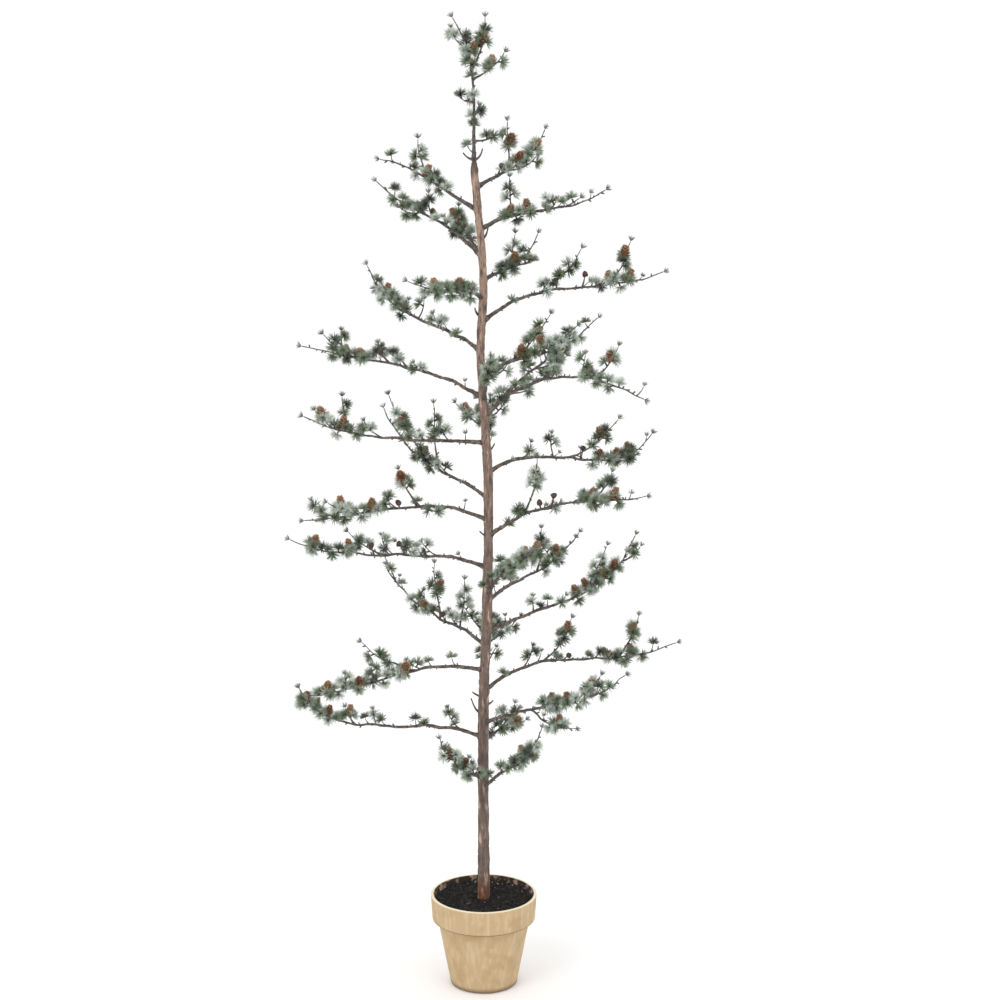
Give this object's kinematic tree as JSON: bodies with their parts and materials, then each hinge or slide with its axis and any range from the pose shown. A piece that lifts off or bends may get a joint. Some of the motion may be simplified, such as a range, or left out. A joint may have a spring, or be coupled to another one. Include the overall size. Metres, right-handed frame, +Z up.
{
  "type": "potted artificial larch tree",
  "caption": "Tall slender artificial larch with a bare lower stem, open tiers of curved boughs, frosted needle tufts and brown cones, standing in a filled clay pot.",
  "frame": {"origin": "centre of the flat underside of the pot", "axes": "+Z up along the trunk, +X to the right and +Y to the back as the tree is seen from its front"},
  "size_m": [0.7284, 0.6238, 1.7948],
  "materials": {
    "clay": "unglazed buff clay with pale lime bloom",
    "fill": "dark crumbly fill",
    "bark": "dull pinkish brown larch bark",
    "foliage": "sage green needles tipped with frost, brown cones"
  },
  "bodies": {
    "root": {"bough_back_1": "bark", "bough_back_2": "bark", "bough_back_3": "bark", "bough_left_10": "bark", "bough_left_12": "bark", "bough_left_2": "bark", "bough_left_3": "bark", "bough_left_4": "bark", "bough_left_5": "bark", "bough_left_6": "bark", "bough_left_7": "bark", "bough_left_8": "bark", "bough_left_9": "bark", "bough_right_10": "bark", "bough_right_11": "bark", "bough_right_12": "bark", "bough_right_13": "bark", "bough_right_4": "bark", "bough_right_6": "bark", "bough_right_7": "bark", "bough_right_8": "bark", "bough_right_9": "bark", "foliage_back_1": "foliage", "foliage_back_2": "foliage", "foliage_back_3": "foliage", "foliage_front_1": "foliage", "foliage_front_2": "foliage", "foliage_left_1": "foliage", "foliage_left_10": "foliage", "foliage_left_11": "foliage", "foliage_left_12": "foliage", "foliage_left_13": "foliage", "foliage_left_2": "foliage", "foliage_left_3": "foliage", "foliage_left_4": "foliage", "foliage_left_5": "foliage", "foliage_left_6": "foliage", "foliage_left_7": "foliage", "foliage_left_8": "foliage", "foliage_left_9": "foliage", "foliage_right_1": "foliage", "foliage_right_10": "foliage", "foliage_right_11": "foliage", "foliage_right_12": "foliage", "foliage_right_13": "foliage", "foliage_right_14": "foliage", "foliage_right_15": "foliage", "foliage_right_2": "foliage", "foliage_right_3": "foliage", "foliage_right_4": "foliage", "foliage_right_5": "foliage", "foliage_right_6": "foliage", "foliage_right_7": "foliage", "foliage_right_8": "foliage", "foliage_right_9": "foliage", "foliage_top": "foliage", "pot": "clay", "soil": "fill", "trunk": "bark"}
  },
  "joints": []
}
